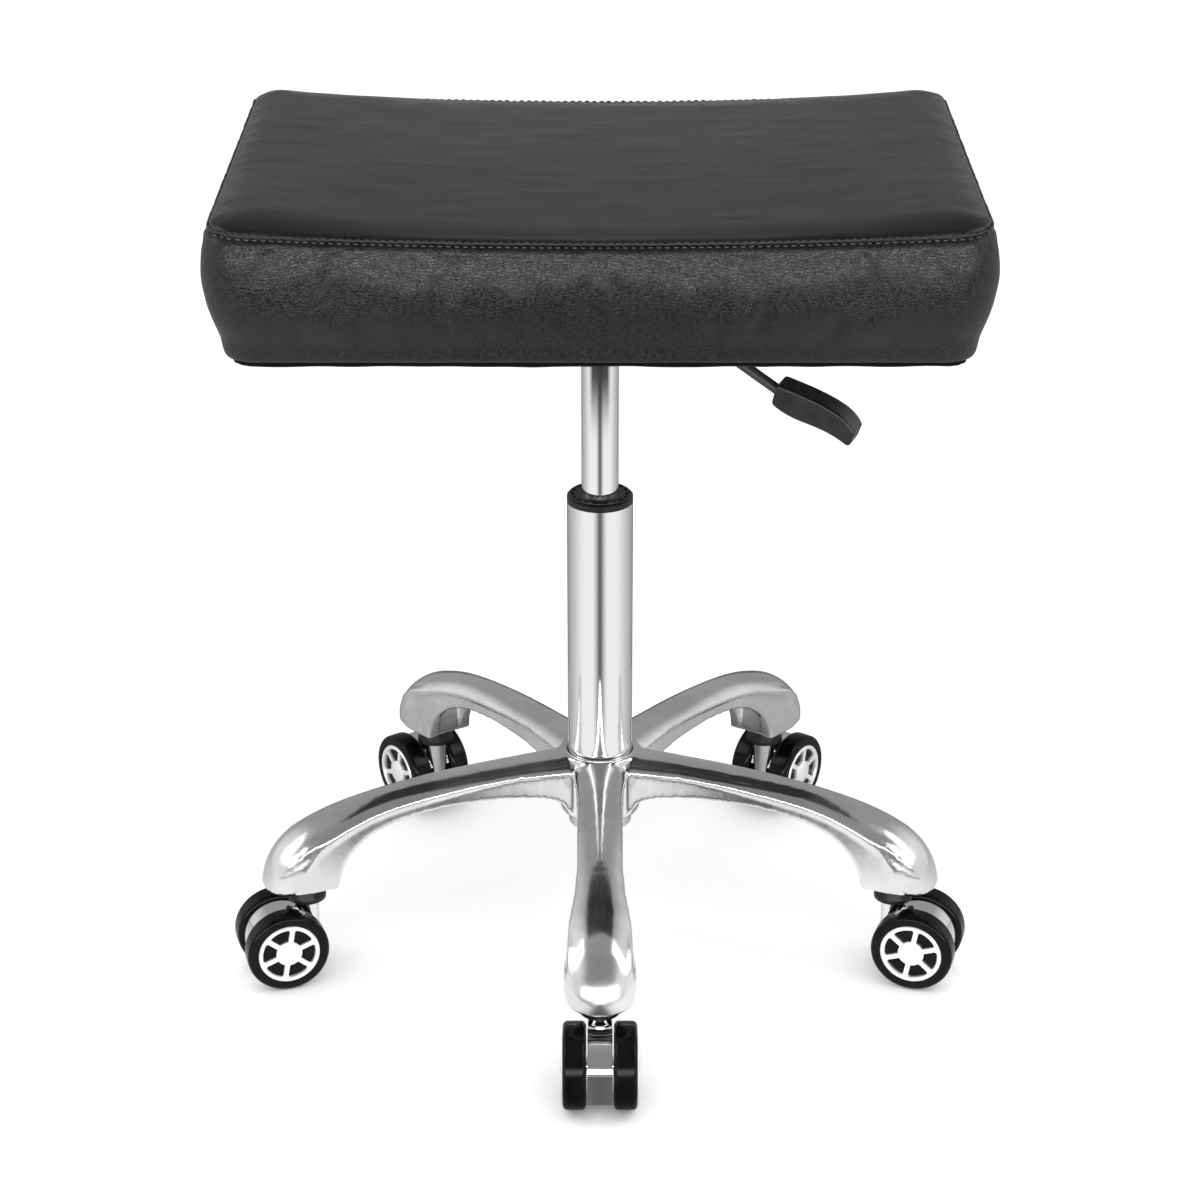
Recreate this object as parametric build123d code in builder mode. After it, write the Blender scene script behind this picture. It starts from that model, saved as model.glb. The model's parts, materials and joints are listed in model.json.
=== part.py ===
"""Rolling pedicure stool: saddle cushion on a gas lift, with a five-arm star base on twin-wheel casters.

Millimetres, +Z up. The origin is on the floor, on the axis of the gas lift column.
One arm of the base points along -Y, which is the front of the stool.
"""

from build123d import *
import os
from math import asin, cos, hypot, sin, tan, radians

os.makedirs("parts", exist_ok=True)

# ---- Driving dimensions ------------------------------------------------------------------------

# Star base
ARM_COUNT = 5
FIRST_ARM_ANGLE = 270
ARM_ANGLES = [FIRST_ARM_ANGLE + 360 / ARM_COUNT * k for k in range(ARM_COUNT)]
CASTER_CIRCLE_R = 238        # stem axes, measured from the column axis
KNOB_CENTRE_R = 245          # centre of the rounded arm end
KNOB_R = 26.5
ARM_UNDERSIDE_Z = 79         # flat face that the caster stems bear against
HUB_TOP_Z = 157.5
HUB_BOTTOM_Z = 104
HUB_R = 31
CASTING_WALL = 4.5
ARM_ROOT_HALF_W = 18
ARM_REACH = 300
KNOB_POCKET_R = 17.5
KNOB_POCKET_DEPTH = 24
STEM_BOSS_R = 10.5
STEM_SOCKET_R = 5.75
STEM_SOCKET_DEPTH = 23.5

# Gas lift
COLUMN_R = 25
COLUMN_WALL = 2
COLUMN_BOTTOM_Z = 100
COLUMN_TOP_Z = 365
COLUMN_TAPER = 0.6           # how much the radius shrinks inside the hub
CYLINDER_R = 14
CYLINDER_WALL = 2
CYLINDER_BOTTOM_Z = 285
SOCKET_MOUTH_Z = 486
CYLINDER_TOP_Z = 516
CYLINDER_TOP_R = 13.3
BUSH_LENGTH = 90
BUSH_FLANGE = 6
BUSH_LIP_R = 17.5
BUSH_SLOT_R = 20.6
BUSH_SLOT_COUNT = 18
ROD_R = 5
ROD_TAIL_R = 4
VALVE_PIN_R = 3
VALVE_PIN_TOP_Z = 520
RUNNING_CLEARANCE = 0.05

# Thrust bearing at the foot of the column
END_DISC_T = 4
RACE_T = 3
BALL_R = 2.5
BALL_CIRCLE_R = 11
BALL_COUNT = 13
GROOVE_R = 2.6
RACE_TO_BALL_CENTRE = 1.9

# Casters, in their own frame: stem on the Z axis, wheels trailing along +X
WHEEL_R = 32
TRAIL = 21
WHEEL_GAP = 20
WHEEL_W = 17
AXLE_R = 3
STEM_R = 5.5
STEM_LOWER_R = 5
STEM_COLLAR_T = 3.5
HOOD_BOTTOM_Z = 65.5

# Cushion
SEAM_W = 527                 # across the stool, at the top seam
SEAM_D = 356                 # front to back, at the top seam
SEAT_UNDERSIDE_Z = 536
SEAM_Z = 629
SADDLE_MIDDLE_Z = 628
SADDLE_END_Z = 642
LEATHER_T = 1.2
BOARD_T = 12

# Mounting plate and height lever
PLATE_SIZE = 150
PLATE_T = 2.5
BOLT_SPACING = 120
BOLT_R = 3
DUST_COVER_T = 0.8
DISH_R = 42
DISH_FLOOR_Z = 510.5
SOCKET_R = 18
LEVER_AZIMUTH = -20
LEVER_ROD_R = 4
LEVER_Z = VALVE_PIN_TOP_Z + 0.2 + LEVER_ROD_R
PIVOT_DISTANCE = 34
PIVOT_PIN_R = 2

# ---- Worked-out levels -------------------------------------------------------------------------

BOARD_BOTTOM_Z = SEAT_UNDERSIDE_Z + LEATHER_T
BOARD_TOP_Z = BOARD_BOTTOM_Z + BOARD_T
DUST_COVER_BOTTOM_Z = SEAT_UNDERSIDE_Z - DUST_COVER_T
PLATE_BOTTOM_Z = DUST_COVER_BOTTOM_Z - PLATE_T
LOWER_RACE_Z = COLUMN_BOTTOM_Z + END_DISC_T
BALL_Z = LOWER_RACE_Z + RACE_T + RACE_TO_BALL_CENTRE
UPPER_RACE_Z = BALL_Z + RACE_TO_BALL_CENTRE
ROD_SHOULDER_Z = UPPER_RACE_Z + RACE_T
COLUMN_BORE_R = COLUMN_R - COLUMN_WALL
CYLINDER_BORE_R = CYLINDER_R - CYLINDER_WALL
WHEEL_INNER_Y = WHEEL_GAP / 2
WHEEL_OUTER_Y = WHEEL_INNER_Y + WHEEL_W


def save(part, name):
    """Label a finished piece and write it as its own STEP file."""
    part.label = name
    export_step(part, f"parts/{name}.step")


def cap_middle(radius, base, rise):
    """Middle point of the arc of a spherical cap, drawn from its rim at radius to its pole on the axis."""
    sphere_r = (radius ** 2 + rise ** 2) / (2 * rise)
    half_turn = asin(radius / sphere_r) / 2
    return (sphere_r * sin(half_turn), base + rise - sphere_r * (1 - cos(half_turn)))


# ---- Star base ---------------------------------------------------------------------------------

# Each station along an arm: distance out, half width, crown height, lower edge of the rounded skin
ARM_STATIONS = [
    (14, 20.0, 158.0, 146.0),
    (55, 19.2, 157.0, 146.5),
    (100, 17.8, 155.0, 145.5),
    (150, 17.6, 151.0, 139.5),
    (195, 20.0, 143.0, 130.0),
    (224, 23.8, 134.0, 118.0),
    (240, 26.0, 127.0, 101.0),
    (252, 25.6, 118.5, 84.0),
    (262, 20.5, 107.5, 80.0),
    (268.5, 13.0, 95.0, 79.5),
    (271, 6.0, 87.0, 79.2),
]
WEB_INSET = 2.6


with BuildPart() as arm_skin:
    for distance, half_width, crown_z, edge_z in ARM_STATIONS:
        rise = min(0.95 * half_width, 0.85 * (crown_z - edge_z))
        with BuildSketch(Plane.YZ.offset(distance)):
            with BuildLine():
                Polyline(
                    (-half_width, crown_z - rise),
                    (-half_width, edge_z),
                    (half_width, edge_z),
                    (half_width, crown_z - rise),
                )
                ThreePointArc(
                    (half_width, crown_z - rise),
                    (0, crown_z),
                    (-half_width, crown_z - rise),
                )
            make_face()
    loft()

with BuildPart() as arm_web:
    with BuildSketch(Plane.XZ):
        with BuildLine():
            Spline((30, 108), (38, 121), (60, 128), (90, 131.5), (122, 131.5), (157, 127.5),
                   (190, 117), (208, 102), (214, 91), (216.5, ARM_UNDERSIDE_Z))
            Polyline((216.5, ARM_UNDERSIDE_Z), (266, ARM_UNDERSIDE_Z), (258, 104), (240, 118),
                     (205, 132), (160, 142), (100, 149), (20, 150), (20, 108), (30, 108))
        make_face()
    extrude(amount=KNOB_R, both=True)
    # trimmed to the arm's plan view, pulled in a little under the skin
    with BuildSketch(Plane.XY):
        with BuildLine():
            side = Spline(
                (10, 20.0 - WEB_INSET),
                (100, 17.8 - WEB_INSET),
                (150, 17.6 - WEB_INSET),
                (195, 20.0 - WEB_INSET),
                (KNOB_CENTRE_R, KNOB_R - WEB_INSET),
                tangents=[(1, -0.05), (1, 0)],
            )
            mirror(side, about=Plane.XZ)
            ThreePointArc(
                (KNOB_CENTRE_R, KNOB_R - WEB_INSET),
                (KNOB_CENTRE_R + KNOB_R - WEB_INSET, 0),
                (KNOB_CENTRE_R, WEB_INSET - KNOB_R),
            )
            Line((10, 20.0 - WEB_INSET), (10, WEB_INSET - 20.0))
        make_face()
    extrude(amount=HUB_TOP_Z, mode=Mode.INTERSECT)

with BuildPart() as arm:
    add(arm_skin.part)
    add(arm_web.part)
    # open channel along the underside, closed above by the skin
    with BuildSketch(Plane.XZ):
        with BuildLine():
            Polyline((36, 60), (36, 143), (100, 142), (150, 136), (195, 124), (217, 108), (217, 60),
                     close=True)
        make_face()
    extrude(amount=ARM_ROOT_HALF_W - WEB_INSET - CASTING_WALL, both=True, mode=Mode.SUBTRACT)
    # hollow knob with a boss in it that holds the caster stem
    with BuildSketch(Plane.XY.offset(ARM_UNDERSIDE_Z)):
        with Locations((CASTER_CIRCLE_R, 0)):
            Circle(KNOB_POCKET_R)
            Circle(STEM_BOSS_R, mode=Mode.SUBTRACT)
    extrude(amount=KNOB_POCKET_DEPTH, mode=Mode.SUBTRACT)
    with BuildSketch(Plane.XY.offset(ARM_UNDERSIDE_Z)):
        with Locations((CASTER_CIRCLE_R, 0)):
            Circle(STEM_SOCKET_R)
    extrude(amount=STEM_SOCKET_DEPTH, mode=Mode.SUBTRACT)
    # mitred at the hub, so that neighbouring arms meet face to face
    with BuildSketch():
        half_spread = ARM_REACH * tan(radians(180 / ARM_COUNT))
        Polygon((0, 0), (ARM_REACH, half_spread), (ARM_REACH, -half_spread), align=None)
    extrude(amount=2 * HUB_TOP_Z, mode=Mode.INTERSECT)

with BuildPart() as star_base:
    with BuildSketch(Plane.XY.offset(HUB_BOTTOM_Z)):
        Circle(HUB_R)
    extrude(amount=HUB_TOP_Z - HUB_BOTTOM_Z)
    hub_foot = star_base.faces().sort_by(Axis.Z)[0]
    chamfer(hub_foot.edges(), 2)
    for angle in ARM_ANGLES:
        add(arm.part.rotate(Axis.Z, angle))
    # tapered seat for the column, with a shallow recess around its mouth
    with BuildSketch(Plane.XZ):
        Polygon((0, HUB_BOTTOM_Z - 10), (COLUMN_R - COLUMN_TAPER, HUB_BOTTOM_Z - 10),
                (COLUMN_R, HUB_TOP_Z - 2), (COLUMN_R + 1.5, HUB_TOP_Z - 2),
                (COLUMN_R + 1.5, HUB_TOP_Z + 10), (0, HUB_TOP_Z + 10), align=None)
    revolve(axis=Axis.Z, mode=Mode.SUBTRACT)
save(star_base.part, "star_base")

# ---- Column and its foot -----------------------------------------------------------------------

with BuildPart() as column_tube:
    with BuildSketch(Plane.XZ):
        Polygon((COLUMN_BORE_R, COLUMN_BOTTOM_Z), (COLUMN_R - COLUMN_TAPER, COLUMN_BOTTOM_Z),
                (COLUMN_R - COLUMN_TAPER, HUB_BOTTOM_Z - 10), (COLUMN_R, HUB_TOP_Z - 2),
                (COLUMN_R, COLUMN_TOP_Z), (COLUMN_BORE_R, COLUMN_TOP_Z), align=None)
    revolve(axis=Axis.Z)
save(column_tube.part, "column_tube")

with BuildPart() as column_end_disc:
    with BuildSketch(Plane.XY.offset(COLUMN_BOTTOM_Z)):
        Circle(COLUMN_BORE_R)
        Circle(ROD_TAIL_R + RUNNING_CLEARANCE, mode=Mode.SUBTRACT)
    extrude(amount=END_DISC_T)
save(column_end_disc.part, "column_end_disc")

with BuildPart() as guide_bush:
    with BuildSketch(Plane.XZ):
        Polygon((CYLINDER_R + RUNNING_CLEARANCE, COLUMN_TOP_Z - BUSH_LENGTH),
                (COLUMN_BORE_R, COLUMN_TOP_Z - BUSH_LENGTH),
                (COLUMN_BORE_R, COLUMN_TOP_Z),
                (COLUMN_R, COLUMN_TOP_Z),
                (COLUMN_R, COLUMN_TOP_Z + BUSH_FLANGE - 1.5),
                (COLUMN_R - 1.5, COLUMN_TOP_Z + BUSH_FLANGE),
                (BUSH_LIP_R, COLUMN_TOP_Z + BUSH_FLANGE),
                (BUSH_LIP_R - 0.6, COLUMN_TOP_Z + BUSH_FLANGE + 1),
                (CYLINDER_R + RUNNING_CLEARANCE, COLUMN_TOP_Z + BUSH_FLANGE + 1), align=None)
    revolve(axis=Axis.Z)
    with BuildSketch(Plane.XY.offset(COLUMN_TOP_Z + BUSH_FLANGE)):
        with PolarLocations(BUSH_SLOT_R, BUSH_SLOT_COUNT):
            SlotOverall(5.2, 1.9, rotation=90)
    extrude(amount=-3, mode=Mode.SUBTRACT)
save(guide_bush.part, "guide_bush")


def race_ring(bottom_z):
    """One washer of the thrust bearing, with a ball groove on the side that faces the balls."""
    with BuildPart() as ring:
        with BuildSketch(Plane.XY.offset(bottom_z)):
            Circle(BALL_CIRCLE_R + 4)
            Circle(ROD_TAIL_R + RUNNING_CLEARANCE, mode=Mode.SUBTRACT)
        extrude(amount=RACE_T)
        with Locations((0, 0, BALL_Z)):
            Torus(BALL_CIRCLE_R, GROOVE_R, mode=Mode.SUBTRACT)
    return ring.part


save(race_ring(LOWER_RACE_Z), "bearing_lower_race")
save(race_ring(UPPER_RACE_Z), "bearing_upper_race")

with BuildPart() as bearing_balls:
    with Locations((0, 0, BALL_Z)):
        with PolarLocations(BALL_CIRCLE_R, BALL_COUNT):
            Sphere(BALL_R)
save(bearing_balls.part, "bearing_balls")

# ---- Piston rod and what it carries ------------------------------------------------------------

CLIP_Z = COLUMN_BOTTOM_Z - 2.6
CLIP_T = 1
CLIP_GROOVE_R = 3.2
PISTON_Z = CYLINDER_BOTTOM_Z + 17
PISTON_T = 10

with BuildPart() as piston_rod:
    with BuildSketch(Plane.XZ):
        Polygon((0, CLIP_Z - 2), (ROD_TAIL_R - 0.6, CLIP_Z - 2), (ROD_TAIL_R, CLIP_Z - 1.4),
                (ROD_TAIL_R, CLIP_Z), (CLIP_GROOVE_R, CLIP_Z), (CLIP_GROOVE_R, CLIP_Z + CLIP_T),
                (ROD_TAIL_R, CLIP_Z + CLIP_T), (ROD_TAIL_R, ROD_SHOULDER_Z),
                (ROD_R, ROD_SHOULDER_Z), (ROD_R, PISTON_Z + PISTON_T + 2),
                (0, PISTON_Z + PISTON_T + 2), align=None)
    revolve(axis=Axis.Z)
save(piston_rod.part, "piston_rod")

with BuildPart() as retaining_clip:
    with BuildSketch(Plane.XY.offset(CLIP_Z)):
        Circle(7)
        Circle(CLIP_GROOVE_R, mode=Mode.SUBTRACT)
        with Locations((6, 0)):
            Rectangle(8, 5, mode=Mode.SUBTRACT)
    extrude(amount=CLIP_T)
save(retaining_clip.part, "retaining_clip")

with BuildPart() as rubber_buffer:
    with BuildSketch(Plane.XY.offset(ROD_SHOULDER_Z)):
        Circle(11)
        Circle(ROD_R, mode=Mode.SUBTRACT)
    extrude(amount=10)
    chamfer(rubber_buffer.edges().group_by(Axis.Z)[-1].sort_by(SortBy.LENGTH)[-1], 1.5)
save(rubber_buffer.part, "rubber_buffer")

with BuildPart() as piston_head:
    with BuildSketch(Plane.XZ):
        Polygon((ROD_R, PISTON_Z), (CYLINDER_BORE_R - RUNNING_CLEARANCE, PISTON_Z),
                (CYLINDER_BORE_R - RUNNING_CLEARANCE, PISTON_Z + 3),
                (CYLINDER_BORE_R - 1.5, PISTON_Z + 3), (CYLINDER_BORE_R - 1.5, PISTON_Z + 7),
                (CYLINDER_BORE_R - RUNNING_CLEARANCE, PISTON_Z + 7),
                (CYLINDER_BORE_R - RUNNING_CLEARANCE, PISTON_Z + PISTON_T),
                (ROD_R, PISTON_Z + PISTON_T), align=None)
    revolve(axis=Axis.Z)
save(piston_head.part, "piston_head")

# ---- Gas cylinder ------------------------------------------------------------------------------

CYLINDER_CHAMBER_TOP_Z = SOCKET_MOUTH_Z + 2

with BuildPart() as gas_cylinder:
    with BuildSketch(Plane.XZ):
        Polygon((CYLINDER_BORE_R, CYLINDER_BOTTOM_Z), (CYLINDER_R, CYLINDER_BOTTOM_Z),
                (CYLINDER_R, SOCKET_MOUTH_Z), (CYLINDER_TOP_R, CYLINDER_TOP_Z),
                (VALVE_PIN_R + RUNNING_CLEARANCE, CYLINDER_TOP_Z),
                (VALVE_PIN_R + RUNNING_CLEARANCE, CYLINDER_CHAMBER_TOP_Z),
                (CYLINDER_BORE_R, CYLINDER_CHAMBER_TOP_Z), align=None)
    revolve(axis=Axis.Z)
save(gas_cylinder.part, "gas_cylinder")

with BuildPart() as cylinder_gland:
    with BuildSketch(Plane.XY.offset(CYLINDER_BOTTOM_Z)):
        Circle(CYLINDER_BORE_R)
        Circle(ROD_R + RUNNING_CLEARANCE, mode=Mode.SUBTRACT)
    extrude(amount=14)
save(cylinder_gland.part, "cylinder_gland")

with BuildPart() as valve_pin:
    with BuildSketch(Plane.XZ):
        with BuildLine():
            Polyline((0, VALVE_PIN_TOP_Z), (0, CYLINDER_CHAMBER_TOP_Z + 4),
                     (VALVE_PIN_R, CYLINDER_CHAMBER_TOP_Z + 4), (VALVE_PIN_R, VALVE_PIN_TOP_Z - 1))
            ThreePointArc((VALVE_PIN_R, VALVE_PIN_TOP_Z - 1),
                          cap_middle(VALVE_PIN_R, VALVE_PIN_TOP_Z - 1, 1), (0, VALVE_PIN_TOP_Z))
        make_face()
    revolve(axis=Axis.Z)
save(valve_pin.part, "valve_pin")

# ---- Mounting plate, its fasteners and the lever ------------------------------------------------

with BuildPart() as mount_plate:
    # flange that is bolted under the seat board
    with BuildSketch(Plane.XY.offset(PLATE_BOTTOM_Z)):
        RectangleRounded(PLATE_SIZE, PLATE_SIZE, 10)
        Circle(DISH_R - PLATE_T, mode=Mode.SUBTRACT)
        with GridLocations(BOLT_SPACING, BOLT_SPACING, 2, 2):
            Circle(BOLT_R + 0.3, mode=Mode.SUBTRACT)
    extrude(amount=PLATE_T)
    # pressed dish with the tapered socket welded through its floor
    with BuildSketch(Plane.XZ):
        Polygon((0, SOCKET_MOUTH_Z), (SOCKET_R, SOCKET_MOUTH_Z), (SOCKET_R, DISH_FLOOR_Z),
                (DISH_R - 3, DISH_FLOOR_Z), (DISH_R, DISH_FLOOR_Z + 3),
                (DISH_R, PLATE_BOTTOM_Z + 1), (DISH_R - PLATE_T, PLATE_BOTTOM_Z + 1),
                (DISH_R - PLATE_T, DISH_FLOOR_Z + PLATE_T), (0, DISH_FLOOR_Z + PLATE_T), align=None)
    revolve(axis=Axis.Z)
    with BuildSketch(Plane.XZ):
        Polygon((0, SOCKET_MOUTH_Z), (CYLINDER_R, SOCKET_MOUTH_Z),
                (CYLINDER_TOP_R, CYLINDER_TOP_Z), (0, CYLINDER_TOP_Z), align=None)
    revolve(axis=Axis.Z, mode=Mode.SUBTRACT)
    # slot that the lever passes through, and the two ears that hold its pivot pin
    with Locations(Location((0, 0, 0), (0, 0, LEVER_AZIMUTH))):
        with Locations((DISH_R - 1, 0, LEVER_Z)):
            Box(8, 2 * LEVER_ROD_R + 3, 2 * LEVER_ROD_R + 6, mode=Mode.SUBTRACT)
        with Locations((PIVOT_DISTANCE, 7, DISH_FLOOR_Z + PLATE_T),
                       (PIVOT_DISTANCE, -7, DISH_FLOOR_Z + PLATE_T)):
            Box(6, 2.4, LEVER_Z + 3.5 - DISH_FLOOR_Z - PLATE_T,
                align=(Align.CENTER, Align.CENTER, Align.MIN))
        with Locations(Location((PIVOT_DISTANCE, 0, LEVER_Z), (90, 0, 0))):
            Cylinder(PIVOT_PIN_R, 30, mode=Mode.SUBTRACT)
save(mount_plate.part, "mount_plate")

BOLT_HEAD_T = 5
BOLT_END_Z = BOARD_TOP_Z - 0.5

with BuildPart() as plate_bolts:
    with BuildSketch(Plane.XY.offset(PLATE_BOTTOM_Z - 1)):
        with GridLocations(BOLT_SPACING, BOLT_SPACING, 2, 2):
            Circle(7)
    extrude(amount=1)
    with BuildSketch(Plane.XY.offset(PLATE_BOTTOM_Z - BOLT_HEAD_T)):
        with GridLocations(BOLT_SPACING, BOLT_SPACING, 2, 2):
            RegularPolygon(5, 6, major_radius=False)
    extrude(amount=BOLT_HEAD_T - 1)
    with BuildSketch(Plane.XY.offset(PLATE_BOTTOM_Z)):
        with GridLocations(BOLT_SPACING, BOLT_SPACING, 2, 2):
            Circle(BOLT_R)
    extrude(amount=BOLT_END_Z - PLATE_BOTTOM_Z)
save(plate_bolts.part, "plate_bolts")

TEE_NUT_R = 9
TEE_NUT_BARREL_R = 4

with BuildPart() as tee_nuts:
    with BuildSketch(Plane.XY.offset(BOARD_TOP_Z - 1.2)):
        with GridLocations(BOLT_SPACING, BOLT_SPACING, 2, 2):
            Circle(TEE_NUT_R)
            Circle(BOLT_R + 0.1, mode=Mode.SUBTRACT)
    extrude(amount=1.2)
    with BuildSketch(Plane.XY.offset(BOARD_TOP_Z - 9)):
        with GridLocations(BOLT_SPACING, BOLT_SPACING, 2, 2):
            Circle(TEE_NUT_BARREL_R)
            Circle(BOLT_R + 0.1, mode=Mode.SUBTRACT)
    extrude(amount=9 - 1.2)
save(tee_nuts.part, "tee_nuts")

BEND_R = 14
BEND_DISTANCE = 47           # where the rod turns down, just outside the dish
ROD_END = (152, 462.5)

with BuildPart() as lever_rod:
    with BuildLine(Plane.XZ) as rod_path:
        FilletPolyline((-7, LEVER_Z), (BEND_DISTANCE, LEVER_Z), ROD_END, radius=BEND_R)
    with BuildSketch(Plane(origin=(-7, 0, LEVER_Z), z_dir=(1, 0, 0))):
        Circle(LEVER_ROD_R)
    sweep(path=rod_path.wire())
    with Locations(Location((PIVOT_DISTANCE, 0, LEVER_Z), (90, 0, 0))):
        Cylinder(PIVOT_PIN_R + RUNNING_CLEARANCE, 30, mode=Mode.SUBTRACT)
save(lever_rod.part.rotate(Axis.Z, LEVER_AZIMUTH), "lever_rod")

PADDLE_W = 23

with BuildPart() as lever_paddle:
    with BuildSketch(Plane.XZ):
        with BuildLine():
            Spline((139, 479.5), (158, 474), (177, 467), (192, 458), (198.5, 449))
            Line((198.5, 449), (194.5, 437.5))
            Spline((194.5, 437.5), (186, 443), (175, 448), (158, 453), (135.5, 464))
            Line((135.5, 464), (139, 479.5))
        make_face()
    extrude(amount=PADDLE_W / 2, both=True)
    fillet(lever_paddle.edges().filter_by(Axis.Y), 2.5)
    top_edges = lever_paddle.edges().filter_by(GeomType.BSPLINE)
    fillet(top_edges, 1.2)
    add(lever_rod.part, mode=Mode.SUBTRACT)
save(lever_paddle.part.rotate(Axis.Z, LEVER_AZIMUTH), "lever_paddle")

with BuildPart() as lever_pivot_pin:
    with Locations(Location((PIVOT_DISTANCE, 0, LEVER_Z), (90, 0, 0))):
        Cylinder(PIVOT_PIN_R, 18)
save(lever_pivot_pin.part.rotate(Axis.Z, LEVER_AZIMUTH), "lever_pivot_pin")

# ---- Seat board, foam and covers ---------------------------------------------------------------

# Each level of the cushion: height, width, depth, corner radius
CUSHION_LEVELS = [
    (SEAT_UNDERSIDE_Z, SEAM_W - 12, SEAM_D - 12, 26),
    (SEAT_UNDERSIDE_Z + 24, SEAM_W + 4, SEAM_D + 4, 30),
    (SEAT_UNDERSIDE_Z + 58, SEAM_W + 13, SEAM_D + 13, 34),
    (SEAM_Z, SEAM_W, SEAM_D, 32),
    (SADDLE_END_Z, SEAM_W - 40, SEAM_D - 40, 26),
]


def cushion_form(inset):
    """The cushion's closed form with its saddle top, shrunk evenly on all sides by inset."""
    with BuildPart() as form:
        for level, (z, width, depth, corner_r) in enumerate(CUSHION_LEVELS):
            lift = inset if level == 0 else 0
            with BuildSketch(Plane.XY.offset(z + lift)):
                RectangleRounded(width - 2 * inset, depth - 2 * inset, corner_r - inset)
        loft()
        # the saddle: a wide arc that dips in the middle of the seat
        with BuildSketch(Plane.XZ):
            with BuildLine():
                ThreePointArc((-SEAM_W / 2 - 20, SADDLE_END_Z + 1.6 - inset),
                              (0, SADDLE_MIDDLE_Z - inset),
                              (SEAM_W / 2 + 20, SADDLE_END_Z + 1.6 - inset))
                Polyline((SEAM_W / 2 + 20, SADDLE_END_Z + 1.6 - inset),
                         (SEAM_W / 2 + 20, SADDLE_END_Z + 60),
                         (-SEAM_W / 2 - 20, SADDLE_END_Z + 60),
                         (-SEAM_W / 2 - 20, SADDLE_END_Z + 1.6 - inset))
            make_face()
        extrude(amount=SEAM_D, both=True, mode=Mode.SUBTRACT)
    return form.part


BOARD_W = SEAM_W - 20
BOARD_D = SEAM_D - 20
WRAP_BORDER = 30             # leather turned under the board on every side

with BuildPart() as seat_cover:
    add(cushion_form(0))
    add(cushion_form(LEATHER_T), mode=Mode.SUBTRACT)
    with BuildSketch(Plane.XY.offset(SEAT_UNDERSIDE_Z - 1)):
        RectangleRounded(SEAM_W - 12 - 2 * WRAP_BORDER, SEAM_D - 12 - 2 * WRAP_BORDER, 12)
    extrude(amount=LEATHER_T + 3, mode=Mode.SUBTRACT)
save(seat_cover.part, "seat_cover")

with BuildPart() as seat_foam:
    add(cushion_form(LEATHER_T + 0.2))
    with Locations((0, 0, BOARD_TOP_Z + 0.1)):
        Box(2 * SEAM_W, 2 * SEAM_D, 200, mode=Mode.SUBTRACT,
            align=(Align.CENTER, Align.CENTER, Align.MAX))
save(seat_foam.part, "seat_foam")

with BuildPart() as seat_board:
    with BuildSketch(Plane.XY.offset(BOARD_BOTTOM_Z)):
        RectangleRounded(BOARD_W, BOARD_D, 22)
        with GridLocations(BOLT_SPACING, BOLT_SPACING, 2, 2):
            Circle(TEE_NUT_BARREL_R, mode=Mode.SUBTRACT)
    extrude(amount=BOARD_T)
    with BuildSketch(Plane.XY.offset(BOARD_TOP_Z)):
        with GridLocations(BOLT_SPACING, BOLT_SPACING, 2, 2):
            Circle(TEE_NUT_R)
    extrude(amount=-1.2, mode=Mode.SUBTRACT)
save(seat_board.part, "seat_board")

with BuildPart() as dust_cover:
    with BuildSketch(Plane.XY.offset(DUST_COVER_BOTTOM_Z)):
        RectangleRounded(SEAM_W - 30, SEAM_D - 30, 18)
        with GridLocations(BOLT_SPACING, BOLT_SPACING, 2, 2):
            Circle(BOLT_R + 0.3, mode=Mode.SUBTRACT)
    extrude(amount=DUST_COVER_T)
save(dust_cover.part, "dust_cover")

# ---- Caster stems ------------------------------------------------------------------------------

STEM_COLLAR_TOP_Z = ARM_UNDERSIDE_Z
STEM_COLLAR_Z = STEM_COLLAR_TOP_Z - STEM_COLLAR_T
STEM_TOP_Z = ARM_UNDERSIDE_Z + 22
STEM_BOTTOM_Z = 42
GRIP_Z = ARM_UNDERSIDE_Z + 16
GRIP_T = 2
GRIP_GROOVE_R = 4.8

with BuildPart() as caster_stem:
    with BuildSketch(Plane.XZ):
        Polygon((0, STEM_BOTTOM_Z), (STEM_LOWER_R - 0.8, STEM_BOTTOM_Z),
                (STEM_LOWER_R, STEM_BOTTOM_Z + 0.8), (STEM_LOWER_R, STEM_COLLAR_Z),
                (STEM_R + 3, STEM_COLLAR_Z), (STEM_R + 3, STEM_COLLAR_TOP_Z),
                (STEM_R, STEM_COLLAR_TOP_Z), (STEM_R, GRIP_Z), (GRIP_GROOVE_R, GRIP_Z),
                (GRIP_GROOVE_R, GRIP_Z + GRIP_T), (STEM_R, GRIP_Z + GRIP_T),
                (STEM_R, STEM_TOP_Z - 1.5), (STEM_R - 1.5, STEM_TOP_Z), (0, STEM_TOP_Z), align=None)
    revolve(axis=Axis.Z)

with BuildPart() as grip_ring:
    with BuildSketch(Plane.XY.offset(GRIP_Z + 0.1)):
        Circle(STEM_SOCKET_R)
        Circle(GRIP_GROOVE_R + 0.05, mode=Mode.SUBTRACT)
        with Locations((STEM_SOCKET_R, 0)):
            Rectangle(4, 2.5, mode=Mode.SUBTRACT)
    extrude(amount=GRIP_T - 0.2)


def caster_place(angle):
    """Where a caster's own frame sits in the stool: on the caster circle, trailing outwards."""
    return Location((0, 0, 0), (0, 0, angle)) * Location((CASTER_CIRCLE_R, 0, 0))


stem_set = [piece.moved(caster_place(angle))
            for angle in ARM_ANGLES
            for piece in (caster_stem.part.solid(), grip_ring.part.solid())]
save(Compound(children=stem_set), "caster_stems")

# ---- Casters, each modelled once and repeated at the five arm ends ------------------------------

BODY_BAND_R = 28.5
BODY_BAND_T = 2.6
BODY_W = WHEEL_GAP - 2
WEB_T = 4
NECK_R = 9
NECK_BOTTOM_Z = 28
AXLE_BOSS_R = 6.5

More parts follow.
